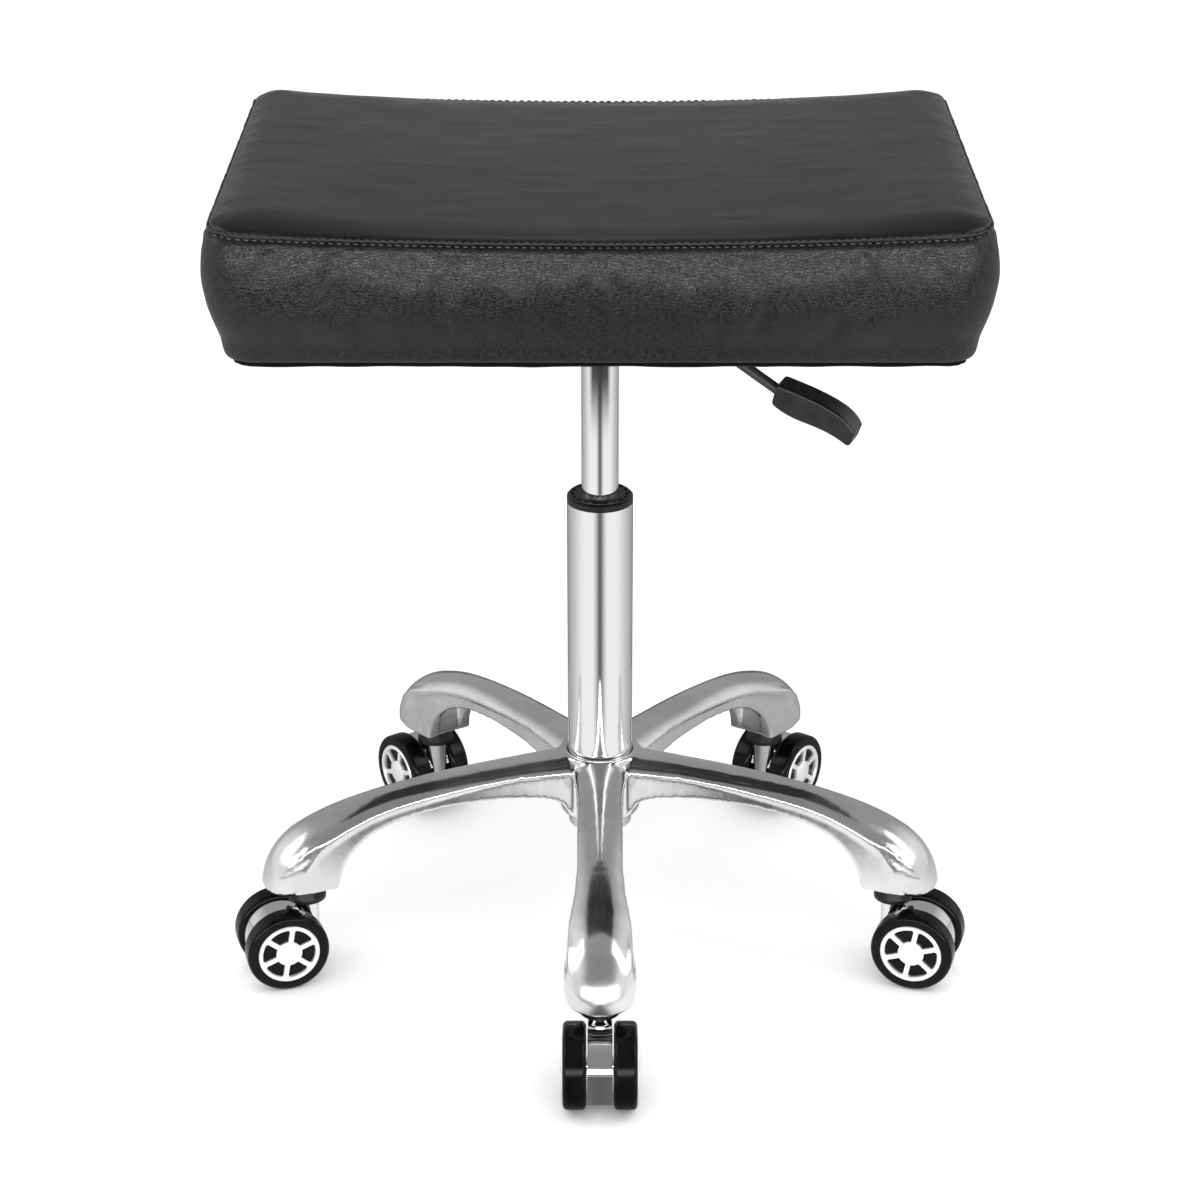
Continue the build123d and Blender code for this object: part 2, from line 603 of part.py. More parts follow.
with BuildPart() as caster_body:
    # central web and axle boss
    with BuildSketch(Plane.XZ):
        with Locations((TRAIL, WHEEL_R)):
            Circle(BODY_BAND_R - 1)
    extrude(amount=WEB_T / 2, both=True)
    with BuildSketch(Plane.XZ):
        with Locations((TRAIL, WHEEL_R)):
            Circle(AXLE_BOSS_R)
    extrude(amount=WHEEL_GAP / 2 - 0.4, both=True)
    # curved band that closes the gap between the wheels over the top and down the trailing side
    with BuildSketch(Plane.XZ):
        with Locations((TRAIL, WHEEL_R)):
            Circle(BODY_BAND_R)
            Circle(BODY_BAND_R - BODY_BAND_T, mode=Mode.SUBTRACT)
        with BuildLine():
            Polyline((TRAIL, WHEEL_R), (TRAIL - 60, WHEEL_R + 22), (TRAIL - 60, -40),
                     (TRAIL + 24, -40), close=True)
        make_face(mode=Mode.SUBTRACT)
    extrude(amount=BODY_W / 2, both=True)
    # neck around the stem
    with BuildSketch(Plane.XY.offset(NECK_BOTTOM_Z)):
        Circle(NECK_R)
    extrude(amount=HOOD_BOTTOM_Z - NECK_BOTTOM_Z)
    with BuildSketch(Plane.XY.offset(STEM_BOTTOM_Z - 0.3)):
        Circle(STEM_LOWER_R + RUNNING_CLEARANCE)
    extrude(amount=HOOD_BOTTOM_Z, mode=Mode.SUBTRACT)
    with Locations(Location((TRAIL, 0, WHEEL_R), (90, 0, 0))):
        Cylinder(AXLE_R, WHEEL_GAP + 10, mode=Mode.SUBTRACT)

with BuildPart() as caster_hood:
    with BuildSketch(Plane.XZ):
        Polygon((STEM_LOWER_R + 0.6, HOOD_BOTTOM_Z), (15, HOOD_BOTTOM_Z), (15, HOOD_BOTTOM_Z + 3),
                (12.5, STEM_COLLAR_Z - 0.3), (STEM_LOWER_R + 0.6, STEM_COLLAR_Z - 0.3), align=None)
    revolve(axis=Axis.Z)
    fillet(caster_hood.edges().group_by(Axis.Z)[-1].sort_by(SortBy.LENGTH)[-1], 2)

AXLE_HALF = WHEEL_OUTER_Y - 3.4

with BuildPart() as caster_axle:
    with Locations(Location((TRAIL, 0, WHEEL_R), (90, 0, 0))):
        Cylinder(AXLE_R, 2 * AXLE_HALF)
    chamfer(caster_axle.edges().filter_by(GeomType.CIRCLE), 0.5)

# Wheel and its face trim, made around the Y axis on the +Y side of the caster
TRIM_R = 24
TRIM_FLOOR_Y = WHEEL_OUTER_Y - 2.8
TRIM_RING_R = 20.4
TRIM_HUB_R = 10
SPOKE_COUNT = 6
SPOKE_W = 3.8
SPOKE_START = 40
WINDOW_OUTER_FILLET = 1.6
WINDOW_INNER_FILLET = 0.6

with BuildPart() as wheel:
    with BuildSketch(Plane.XY):
        with BuildLine():
            Polyline((AXLE_R + RUNNING_CLEARANCE, TRIM_FLOOR_Y),
                     (AXLE_R + RUNNING_CLEARANCE, WHEEL_INNER_Y + 0.4),
                     (9, WHEEL_INNER_Y + 0.4), (9, WHEEL_INNER_Y + 2), (23, WHEEL_INNER_Y + 2),
                     (24, WHEEL_INNER_Y), (28, WHEEL_INNER_Y))
            ThreePointArc((28, WHEEL_INNER_Y), (30.9, WHEEL_INNER_Y + 1.1),
                          (WHEEL_R - 0.1, WHEEL_INNER_Y + 4))
            ThreePointArc((WHEEL_R - 0.1, WHEEL_INNER_Y + 4), (WHEEL_R, WHEEL_INNER_Y + WHEEL_W / 2),
                          (WHEEL_R - 0.1, WHEEL_OUTER_Y - 4))
            ThreePointArc((WHEEL_R - 0.1, WHEEL_OUTER_Y - 4), (30.9, WHEEL_OUTER_Y - 1.1),
                          (28, WHEEL_OUTER_Y))
            Polyline((28, WHEEL_OUTER_Y), (TRIM_R + 0.6, WHEEL_OUTER_Y),
                     (TRIM_R, WHEEL_OUTER_Y - 0.6), (TRIM_R, TRIM_FLOOR_Y),
                     (AXLE_R + RUNNING_CLEARANCE, TRIM_FLOOR_Y))
        make_face()
    revolve(axis=Axis.Y)

with BuildPart() as wheel_trim:
    # rim of the trim
    with BuildSketch(Plane.XY):
        with BuildLine():
            Polyline((TRIM_RING_R, WHEEL_OUTER_Y - 0.8), (TRIM_RING_R, TRIM_FLOOR_Y),
                     (TRIM_R, TRIM_FLOOR_Y), (TRIM_R, WHEEL_OUTER_Y - 0.8))
            ThreePointArc((TRIM_R, WHEEL_OUTER_Y - 0.8),
                          ((TRIM_R + TRIM_RING_R) / 2, WHEEL_OUTER_Y + 0.6),
                          (TRIM_RING_R, WHEEL_OUTER_Y - 0.8))
        make_face()
    revolve(axis=Axis.Y)
    # domed hub
    with BuildSketch(Plane.XY):
        with BuildLine():
            Polyline((0, WHEEL_OUTER_Y + 2), (0, TRIM_FLOOR_Y), (TRIM_HUB_R, TRIM_FLOOR_Y),
                     (TRIM_HUB_R, WHEEL_OUTER_Y - 0.6))
            ThreePointArc((TRIM_HUB_R, WHEEL_OUTER_Y - 0.6),
                          cap_middle(TRIM_HUB_R, WHEEL_OUTER_Y - 0.6, 2.6), (0, WHEEL_OUTER_Y + 2))
        make_face()
    revolve(axis=Axis.Y)
    # spokes
    with BuildSketch(Plane.XZ.offset(-TRIM_FLOOR_Y)):
        with PolarLocations((TRIM_HUB_R + TRIM_RING_R) / 2, SPOKE_COUNT, start_angle=SPOKE_START):
            Rectangle(TRIM_RING_R - TRIM_HUB_R + 3, SPOKE_W)
    extrude(amount=-(WHEEL_OUTER_Y - 0.9 - TRIM_FLOOR_Y))
    # rounded corners of the six windows
    window_edges = wheel_trim.edges().filter_by(Axis.Y)
    middle_r = (TRIM_HUB_R + TRIM_RING_R) / 2
    outer_corners = window_edges.filter_by(lambda e: middle_r < hypot(e.center().X, e.center().Z))
    inner_corners = window_edges.filter_by(lambda e: middle_r > hypot(e.center().X, e.center().Z))
    fillet(outer_corners, WINDOW_OUTER_FILLET)
    fillet(inner_corners, WINDOW_INNER_FILLET)

AXLE_CENTRE = Location((TRAIL, 0, WHEEL_R))

for number, angle in enumerate(ARM_ANGLES, start=1):
    place = caster_place(angle)
    save(caster_body.part.moved(place), f"caster_body_{number}")
    save(caster_hood.part.moved(place), f"caster_hood_{number}")
    save(caster_axle.part.moved(place), f"caster_axle_{number}")
    for side, turn in (("left", 0), ("right", 180)):
        on_axle = place * AXLE_CENTRE * Location((0, 0, 0), (0, 0, turn))
        save(wheel.part.moved(on_axle), f"wheel_{number}_{side}")
        save(wheel_trim.part.moved(on_axle), f"wheel_trim_{number}_{side}")
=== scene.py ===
"""Looks of the rolling pedicure stool: its cushion, covers, castings and finishes, in metres."""

import bmesh
import bpy
import json
import random
from math import atan2, cos, exp, hypot, pi, radians, sin, sqrt
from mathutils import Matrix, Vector, noise


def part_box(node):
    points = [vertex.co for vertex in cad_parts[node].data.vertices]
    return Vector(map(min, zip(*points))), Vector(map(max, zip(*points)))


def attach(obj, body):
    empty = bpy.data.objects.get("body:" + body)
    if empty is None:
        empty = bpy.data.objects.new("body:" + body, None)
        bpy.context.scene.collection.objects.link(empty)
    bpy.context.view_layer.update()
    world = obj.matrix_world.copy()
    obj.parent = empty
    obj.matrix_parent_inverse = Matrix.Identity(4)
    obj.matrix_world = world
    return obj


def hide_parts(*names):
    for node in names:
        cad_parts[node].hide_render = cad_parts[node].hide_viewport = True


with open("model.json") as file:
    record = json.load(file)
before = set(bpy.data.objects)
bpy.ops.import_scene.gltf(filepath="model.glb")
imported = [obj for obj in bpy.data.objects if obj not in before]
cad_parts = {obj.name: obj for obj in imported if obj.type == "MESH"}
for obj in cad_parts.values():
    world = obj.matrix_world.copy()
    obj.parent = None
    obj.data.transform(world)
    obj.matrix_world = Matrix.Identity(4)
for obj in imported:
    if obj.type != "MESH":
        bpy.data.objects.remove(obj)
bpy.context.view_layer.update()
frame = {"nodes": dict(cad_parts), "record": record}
MM = 0.001
NEAR_ZERO = 1e-6
random.seed(7)


# ---- Shader writing ----------------------------------------------------------------------------

class Wire:
    """A value carried by a shader socket. Sums and products of wires add their Math nodes."""

    def __init__(self, finish, socket):
        self.finish = finish
        self.socket = socket

    def _math(self, operation, *values):
        inputs = dict(enumerate(values))
        return self.finish.node("ShaderNodeMath", {"operation": operation}, inputs)

    def __add__(self, other):
        return self._math("ADD", self, other)

    __radd__ = __add__

    def __mul__(self, other):
        return self._math("MULTIPLY", self, other)

    __rmul__ = __mul__

    def __sub__(self, other):
        return self._math("SUBTRACT", self, other)

    def __rsub__(self, other):
        return self._math("SUBTRACT", other, self)

    def __pow__(self, other):
        return self._math("POWER", self, other)

    def size(self):
        return self._math("ABSOLUTE", self)

    def over(self, low, high):
        """0 below low, 1 above high, and a smooth rise between them."""
        settings = {"interpolation_type": "SMOOTHSTEP"}
        inputs = {"Value": self, "From Min": low, "From Max": high}
        return self.finish.node("ShaderNodeMapRange", settings, inputs)


class Shading:
    """A node tree, and the ways of adding nodes to it."""

    def __init__(self, tree):
        self.tree = tree

    def node(self, kind, settings=None, inputs=None, out=0):
        """Any node: its settings are set first, then its sockets get their values or links."""
        made = self.tree.nodes.new(kind)
        for key, value in (settings or {}).items():
            if key == "stops":
                fill_ramp(made.color_ramp, value)
            else:
                setattr(made, key, value)
        for key, value in (inputs or {}).items():
            self.feed(made.inputs[key], value)
        return Wire(self, made.outputs[out])

    def feed(self, socket, value):
        if isinstance(value, Wire):
            self.tree.links.new(value.socket, socket)
        else:
            socket.default_value = value

    def place(self, stretch=(1, 1, 1), output="Object"):
        """The point on the piece, in metres, with its axes scaled by stretch."""
        spot = self.node("ShaderNodeTexCoord", out=output)
        return self.node("ShaderNodeVectorMath", {"operation": "MULTIPLY"}, {0: spot, 1: stretch})

    def axes(self, output="Object"):
        """The x, y and z of the point on the piece."""
        spot = self.place(output=output)
        split = self.node("ShaderNodeSeparateXYZ", None, {0: spot})
        outputs = split.socket.node.outputs
        return [Wire(self, outputs[k]) for k in range(3)]

    def speckle(self, per_metre, stretch=(1, 1, 1), detail=3.0, roughness=0.55, warp=0.0):
        inputs = {"Vector": self.place(stretch), "Scale": per_metre, "Detail": detail,
                  "Roughness": roughness, "Distortion": warp}
        return self.node("ShaderNodeTexNoise", None, inputs, out=0)

    def cells(self, per_metre, stretch=(1, 1, 1), feature="DISTANCE_TO_EDGE"):
        inputs = {"Vector": self.place(stretch), "Scale": per_metre}
        return self.node("ShaderNodeTexVoronoi", {"feature": feature}, inputs, out="Distance")

    def tint(self, low, high, amount):
        """A colour between low and high."""
        inputs = {0: amount, 6: (*low, 1), 7: (*high, 1)}
        return self.node("ShaderNodeMix", {"data_type": "RGBA"}, inputs, out=2)

    def ramp(self, stops, amount):
        """The grey that these (position, grey) stops give at amount."""
        return self.node("ShaderNodeValToRGB", {"stops": stops}, {0: amount})


class Finish(Shading):
    """One surface finish: a material with a Principled shader, and the nodes that drive it."""

    def __init__(self, name, **constants):
        self.material = bpy.data.materials.new(name)
        self.material.use_nodes = True
        super().__init__(self.material.node_tree)
        self.shader = self.tree.nodes["Principled BSDF"]
        for socket, value in constants.items():
            self.shader.inputs[socket.replace("_", " ")].default_value = value

    def relief(self, height, depth, strength=1.0):
        """Feeds the shader's normal with a relief of that depth in metres."""
        inputs = {"Height": height, "Distance": depth, "Strength": strength}
        self.drive("Normal", self.node("ShaderNodeBump", None, inputs))

    def drive(self, socket, value):
        self.feed(self.shader.inputs[socket], value)


def fill_ramp(ramp, stops):
    """Gives a colour ramp these (position, grey) stops."""
    while len(ramp.elements) > 1:
        ramp.elements.remove(ramp.elements[-1])
    for number, (position, grey) in enumerate(stops):
        stop = ramp.elements[0] if number == 0 else ramp.elements.new(position)
        stop.position = position
        stop.color = (grey, grey, grey, 1)


# ---- Finishes ----------------------------------------------------------------------------------

def leatherette(name, crease_stretch, crease_scale, crease_depth, pebble_depth, pebbles=950, painted_highlight=0.0):
    """Black coated upholstery cloth: pebble grain, and creases that run the way it was pulled."""
    f = Finish(name, IOR=1.5, Specular_IOR_Level=0.44)
    pebble = f.cells(pebbles).over(0.0, 0.22)
    pores = f.speckle(1700, detail=2.0)
    crease = (f.speckle(crease_scale, crease_stretch, detail=4.0, warp=0.6) - 0.5).size()
    fine_crease = crease.over(0.0, 0.06)
    worn = f.speckle(14, detail=2.0)
    broad = f.speckle(38, crease_stretch, detail=3.0)
    f.relief(pebble * pebble_depth + pores * 0.25 + fine_crease * crease_depth + broad * 2.5, 0.0001, 1.0)
    # painted_highlight lifts the colour evenly as a painted highlight; the worn and pores mix is the
    # cloth's random tone
    f.drive("Base Color", f.tint((0.0015 + painted_highlight,) * 3, (0.006 + 2 * painted_highlight,) * 3, worn * 0.7 + pores * 0.3))
    f.drive("Roughness", 0.17 + (worn - 0.5) * 0.10 + (1 - pebble) * 0.06)
    return f.material


def chrome(name, roughness=0.05):
    """Bright plating with faint wipe marks."""
    f = Finish(name, Metallic=1.0)
    smear = f.speckle(22, (1, 1, 0.2), detail=4.0)
    f.drive("Base Color", f.tint((0.80, 0.81, 0.82), (0.90, 0.905, 0.91), smear))
    f.drive("Roughness", roughness + smear.over(0.35, 0.8) * 0.05)
    return f.material


def polished_aluminium():
    """Hand-polished casting: soft polish ripples, fine buffing lines and a few duller patches."""
    f = Finish("polished_aluminium", Metallic=1.0)
    ripple = f.speckle(55, detail=2.0)
    buffing = f.speckle(900, (1, 1, 0.15), detail=2.0)
    dull = f.speckle(18, detail=4.0, roughness=0.6)
    f.relief(ripple * 1.0 + buffing * 0.10, 0.0006, 0.35)
    f.drive("Base Color", f.tint((0.74, 0.745, 0.75), (0.90, 0.905, 0.91), dull.over(0.3, 0.7)))
    f.drive("Roughness", 0.11 + dull.over(0.35, 0.75) * 0.12 + buffing * 0.03)
    return f.material


def moulded(name, low, high, roughness, grain=1400, depth=0.00008, specular=0.5):
    """Moulded plastic or rubber: spark-eroded grain, flow marks and rubbed, duller patches."""
    f = Finish(name, IOR=1.5, Specular_IOR_Level=specular)
    grit = f.speckle(grain, detail=2.0)
    rubbed = f.speckle(70, detail=4.0)
    f.relief(grit, depth, 0.6)
    f.drive("Base Color", f.tint(low, high, rubbed.over(0.3, 0.75)))
    f.drive("Roughness", roughness + (rubbed - 0.5) * 0.18)
    return f.material


def steel(name, low, high, roughness, metallic=1.0):
    """Turned or plated steel with fine machining lines."""
    f = Finish(name, Metallic=metallic)
    lines = f.speckle(2200, (1, 1, 0.1), detail=1.0)
    stain = f.speckle(120, detail=4.0)
    f.relief(lines, 0.00005, 0.4)
    f.drive("Base Color", f.tint(low, high, stain))
    f.drive("Roughness", roughness + stain * 0.12)
    return f.material


def silver_trim():
    """Silver paint over moulded plastic: very fine flakes under a clear gloss."""
    f = Finish("silver_trim", Metallic=0.55)
    f.shader.inputs["Coat Roughness"].default_value = 0.08
    f.shader.inputs["Coat Weight"].default_value = 0.6
    flakes = f.cells(4000, feature="F1")
    f.drive("Base Color", f.tint((0.80, 0.80, 0.81), (0.93, 0.93, 0.94), flakes))
    f.drive("Roughness", 0.22 + flakes * 0.10)
    return f.material


def plywood():
    """Birch ply: faint grain on the face."""
    f = Finish("plywood")
    grain = f.speckle(160, (0.08, 1, 1), detail=5.0, warp=0.8)
    f.relief(grain, 0.0003, 0.5)
    f.drive("Base Color", f.tint((0.42, 0.28, 0.15), (0.68, 0.50, 0.31), grain))
    f.drive("Roughness", 0.6 + grain * 0.2)
    return f.material


def foam():
    """Cut seat foam with open cells, their pits painted darker as shade."""
    f = Finish("seat_foam")
    holes = f.cells(900, feature="F1")
    f.relief(holes, 0.0008, 0.8)
    # Darker at the cell centres, where the relief sinks deepest: painted shade in the pits
    f.drive("Base Color", f.tint((0.62, 0.55, 0.30), (0.86, 0.80, 0.56), holes))
    f.drive("Roughness", 0.9 + holes * 0.05)
    return f.material


def dust_cloth():
    """Black non-woven cloth, bonded in a fine dimple pattern."""
    f = Finish("dust_cloth", Specular_IOR_Level=0.25)
    dimples = f.cells(620, feature="F1")
    fibres = f.speckle(2600, (1, 0.3, 1), detail=2.0)
    f.relief(dimples + fibres * 0.6, 0.0003, 0.7)
    f.drive("Base Color", f.tint((0.010, 0.010, 0.011), (0.030, 0.030, 0.032), fibres))
    f.drive("Roughness", 0.8 + fibres * 0.15)
    return f.material


def thread():
    """Bonded black sewing thread, twisted, coloured lighter on the ridges of its twist as a painted
    highlight.
    """
    f = Finish("sewing_thread", Specular_IOR_Level=0.5)
    twist = f.speckle(3000, (1, 1, 1), detail=1.0)
    f.relief(twist, 0.0002, 0.8)
    # Grey that grows lighter where the twist stands highest: painted glints on black thread
    f.drive("Base Color", f.tint((0.04, 0.04, 0.042), (0.16, 0.16, 0.165), twist))
    f.drive("Roughness", 0.45 + twist * 0.15)
    return f.material


leather_top = leatherette("leatherette_top", (0.22, 1, 1), 210, 0.45, 0.30)
leather_band = leatherette("leatherette_band", (1, 1, 0.6), 300, 0.6, 1.1, pebbles=560)
# The seam's folded edge is coloured lighter than the panels: a painted highlight along its ridge
seam_fold = leatherette("leatherette_fold", (1, 1, 1), 500, 1.2, 0.5, painted_highlight=0.011)
finishes = {
    "polished_aluminium": polished_aluminium(),
    "chrome": chrome("chrome", 0.04),
    "chromed_housing": chrome("chromed_housing", 0.06),
    "black_nylon": moulded("black_nylon", (0.004, 0.004, 0.0045),
                           (0.010, 0.010, 0.011), 0.34, specular=0.3),
    "bright_steel": steel("bright_steel", (0.52, 0.52, 0.53), (0.70, 0.70, 0.71), 0.22),
    "zinc_steel": steel("zinc_steel", (0.50, 0.51, 0.47), (0.72, 0.72, 0.66), 0.30),
    "black_steel": steel("black_steel", (0.012, 0.012, 0.013), (0.030, 0.030, 0.032), 0.34, 0.0),
    "black_rubber": moulded("black_rubber", (0.012, 0.012, 0.012), (0.03, 0.03, 0.03), 0.6),
    "plywood": plywood(),
    "seat_foam": foam(),
    "black_leatherette": leather_top,
    "dust_cloth": dust_cloth(),
    "black_lever_plastic": moulded("black_lever_plastic", (0.004, 0.004, 0.0045),
                                   (0.012, 0.012, 0.013), 0.3, grain=1100, depth=0.00015),
    "black_wheel": moulded("black_wheel", (0.001, 0.001, 0.0012), (0.004, 0.004, 0.0045), 0.16,
                           grain=500, depth=0.00005, specular=0.16),
    "silver_trim": silver_trim(),
}
sewing_thread = thread()


def dress(piece, *materials):
    """Gives a piece its materials in place of what it had."""
    piece.data.materials.clear()
    for material in materials:
        piece.data.materials.append(material)


for part in frame["record"]["subparts"]:
    dress(frame["nodes"][part["node"]], finishes[part["material_slot"]])


# ---- Building blocks ---------------------------------------------------------------------------

def new_piece(name, points, faces, body, materials, smooth=True):
    """A mesh piece made of these points and faces, riding on a body of the stool."""
    mesh = bpy.data.meshes.new(name)
    mesh.from_pydata([tuple(p) for p in points], [], faces)
    mesh.update()
    piece = bpy.data.objects.new(name, mesh)
    bpy.context.scene.collection.objects.link(piece)
    for material in materials:
        mesh.materials.append(material)
    mesh.polygons.foreach_set("use_smooth", [smooth] * len(mesh.polygons))
    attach(piece, body)
    return piece


def tube(path, radius, sides=8, closed=False, radii=None):
    """Points and faces of a round bar that follows path, with its ends closed by flat caps."""
    count = len(path)
    points, faces = [], []
    for i, spot in enumerate(path):
        before = path[i - 1] if (i or closed) else path[0]
        after = path[(i + 1) % count] if (i < count - 1 or closed) else path[-1]
        along = (after - before).normalized()
        across = along.cross(Vector((0, 0, 1)))
        if across.length < NEAR_ZERO:
            across = Vector((1, 0, 0))
        across.normalize()
        up = across.cross(along)
        r = radii[i] if radii else radius
        for k in range(sides):
            turn = 2 * pi * k / sides
            points.append(spot + across * (r * cos(turn)) + up * (r * sin(turn)))
    for i in range(count if closed else count - 1):
        j = (i + 1) % count
        for k in range(sides):
            m = (k + 1) % sides
            faces.append((i * sides + k, i * sides + m, j * sides + m, j * sides + k))
    if not closed:
        faces.append(tuple(reversed(range(sides))))
        faces.append(tuple(range((count - 1) * sides, count * sides)))
    return points, faces


def gather(parts):
    """Joins several (points, faces) lists into one."""
    points, faces = [], []
    for some_points, some_faces in parts:
        start = len(points)
        points += some_points
        faces += [tuple(v + start for v in face) for face in some_faces]
    return points, faces


# ---- Cushion -----------------------------------------------------------------------------------

cover_low, cover_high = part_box("seat_cover")
BULGE = 6.5 * MM                       # how far the boxing stands out past the seam
BOTTOM_INSET = 6 * MM                  # how far its lower edge is pulled in
SEAM_HALF_W = cover_high.x - BULGE
SEAM_HALF_D = cover_high.y - BULGE
UNDERSIDE_Z = cover_low.z
SEAM_CORNER_R = 24 * MM
SEAM_END_Z = UNDERSIDE_Z + 93 * MM
SEAM_SAG = 7 * MM
TOP_MIDDLE_Z = cover_high.z - 14 * MM
SADDLE_RISE = 13 * MM
ROLL_WIDTH = 34 * MM
BORDER = 30 * MM
PUFF_TOP = 2.5 * MM                    # how far the cloth swells at most
PUFF_BAND = 3.0 * MM
FADE = 40 * MM                         # the swelling dies away over this height above the board
STITCH = 5.6 * MM
FILL_FRAMES = 20
SEAM_STEP = 0.9 * MM                   # spacing of the points along the folded seam edge
SEAM_BEAD_R = 1.0 * MM
CLOTH_THICKNESS = 0.4 * MM
CLOTH_GAP = 0.15 * MM                  # between the board and the dust cover
CLOTH_SAG = 1.2 * MM
HEM_DROP = 1.9 * MM                    # how far the cover's edge hangs, on average
HEM_RIPPLE = 0.9 * MM
HEM_FADE = 5 * MM
STAPLE_INSET = 9 * MM
STAPLE_SPACING = 38 * MM
STAPLE_WIRE_R = 0.45 * MM
STAPLE_HALF_CROWN = 5 * MM
STAPLE_LEG = 3 * MM
PLATE_REACH = 85 * MM                  # the dust cover lies flat against the board this far out


def graded(half, step, edge_steps):
    """Grid lines from -half to half: even ones inside, and finer ones towards both edges."""
    inner = half - sum(edge_steps)
    count = round(2 * inner / step)
    middle = [-inner + 2 * inner * k / count for k in range(count + 1)]
    outer = []
    edge = half
    for width in edge_steps:
        outer.append(edge)
        edge -= width
    return [-x for x in outer] + middle + list(reversed(outer))


def around_grid(columns, rows):
    """The point numbers around the edge of a grid, in order."""
    loop = list(range(columns)) + [j * columns + columns - 1 for j in range(1, rows)]
    loop += [(rows - 1) * columns + i for i in range(columns - 2, -1, -1)]
    return loop + [j * columns for j in range(rows - 2, 0, -1)]


def rounded(x, y, half_w, half_d, corner_r):
    """Moves a point of a plain rectangle to its place in one with rounded corners."""
    u = (abs(x) - (half_w - corner_r)) / corner_r
    v = (abs(y) - (half_d - corner_r)) / corner_r
    if u <= 0 or v <= 0:
        return x, y
    new_x = half_w - corner_r + corner_r * u * sqrt(max(0, 1 - v * v / 2))
    new_y = half_d - corner_r + corner_r * v * sqrt(max(0, 1 - u * u / 2))
    return (new_x if x > 0 else -new_x), (new_y if y > 0 else -new_y)


def seam_z(x):
    """The seam's height: it sags a little towards the middle of the seat."""
    return SEAM_END_Z - SEAM_SAG * (1 - min(1, (x / SEAM_HALF_W) ** 2))


def edge_distance(x, y):
    """How far a point of the top panel is from the seam, in plan."""
    dx = SEAM_HALF_W - abs(x)
    dy = SEAM_HALF_D - abs(y)
    if dx < SEAM_CORNER_R and dy < SEAM_CORNER_R:
        return SEAM_CORNER_R - hypot(SEAM_CORNER_R - dx, SEAM_CORNER_R - dy)
    return min(dx, dy)


def top_z(x, y):
    """The top panel: a saddle that rolls over towards the seam on all sides."""
    saddle = TOP_MIDDLE_Z + SADDLE_RISE * min(1.15, (x / (SEAM_HALF_W - 18 * MM)) ** 2)
    inward = min(1, max(0, edge_distance(x, y)) / ROLL_WIDTH)
    roll = (1 - (1 - inward) ** 2.3) ** 0.62
    return seam_z(x) + (saddle - seam_z(x)) * roll


def band_offset(t):
    """How far the boxing stands out at t of its way down."""
    swell = sin(pi * min(1.0, t / 0.85) ** 0.85)
    return BULGE * 0.95 * max(0, swell) - BOTTOM_INSET * t ** 1.6


def cushion_shell():
    """The sewn cover before it is filled: top panel, boxing and turned-under border."""
    edge_steps = [1.4 * MM, 1.8 * MM, 2.6 * MM, 3.6 * MM]
    xs = graded(SEAM_HALF_W, 5 * MM, edge_steps)
    ys = graded(SEAM_HALF_D, 5 * MM, edge_steps)
    columns, rows = len(xs), len(ys)
    points, faces, panel = [], [], []
    for y in ys:
        for x in xs:
            px, py = rounded(x, y, SEAM_HALF_W, SEAM_HALF_D, SEAM_CORNER_R)
            points.append(Vector((px, py, top_z(px, py))))
    for j in range(rows - 1):
        for i in range(columns - 1):
            a = j * columns + i
            faces.append((a, a + 1, a + columns + 1, a + columns))
            panel.append(0)
    loop = around_grid(columns, rows)
    ring_plan = [(xs[i % columns], ys[i // columns]) for i in loop]
    down = [1.4 * MM, 3.2 * MM, 5.8 * MM, 9.4 * MM]
    step = 5 * MM
    while down[-1] + step < 88 * MM:
        down.append(down[-1] + step)
    previous = loop
    depth = SEAM_END_Z - UNDERSIDE_Z
    levels = [(d / depth, None) for d in down]
    levels += [(None, (0.0, 2.4 * MM)), (None, (1.6 * MM, 0.5 * MM)), (None, (4.5 * MM, 0.0)),
               (None, (12 * MM, 0.0)), (None, (BORDER, 0.0))]
    for t, foot in levels:
        ring = []
        for x, y in ring_plan:
            if foot is None:
                out = band_offset(t)
                z = UNDERSIDE_Z + (seam_z(x) - UNDERSIDE_Z) * (1 - t)
                corner = SEAM_CORNER_R + max(0, out) * 0.8
            else:
                out = -BOTTOM_INSET - foot[0]
                z = UNDERSIDE_Z + foot[1]
                corner = max(6 * MM, SEAM_CORNER_R - foot[0])
            half_w, half_d = SEAM_HALF_W + out, SEAM_HALF_D + out
            px, py = rounded(x * half_w / SEAM_HALF_W, y * half_d / SEAM_HALF_D, half_w, half_d, corner)
            ring.append(len(points))
            points.append(Vector((px, py, z)))
        for k in range(len(ring)):
            m = (k + 1) % len(ring)
            faces.append((previous[m], previous[k], ring[k], ring[m]))
            panel.append(1)
        previous = ring
    pinned = set(loop) | {i for i in range(len(points)) if points[i].z < UNDERSIDE_Z + 3 * MM}
    return points, faces, panel, loop, pinned


def fill_with_pressure(piece, pinned):
    """Blows the sewn cover up a little as the foam does, held at its seam and along the board."""
    group = piece.vertex_groups.new(name="held")
    group.add(sorted(pinned), 1.0, "REPLACE")
    cloth = piece.modifiers.new("cloth", "CLOTH")
    settings = cloth.settings
    settings.quality = 5
    settings.mass = 0.35
    settings.tension_stiffness = 22
    settings.compression_stiffness = 22
    settings.shear_stiffness = 8
    settings.bending_stiffness = 1.6
    settings.use_pressure = True
    settings.uniform_pressure_force = 4
    settings.shrink_min = -0.012
    settings.vertex_group_mass = "held"
    settings.effector_weights.gravity = 0
    cloth.collision_settings.use_collision = False
    scene = bpy.context.scene
    for step in range(1, FILL_FRAMES + 1):
        scene.frame_set(step)
    evaluated = piece.evaluated_get(bpy.context.evaluated_depsgraph_get())
    swollen = [v.co.copy() for v in evaluated.data.vertices]
    piece.modifiers.remove(cloth)
    scene.frame_set(1)
    return swollen


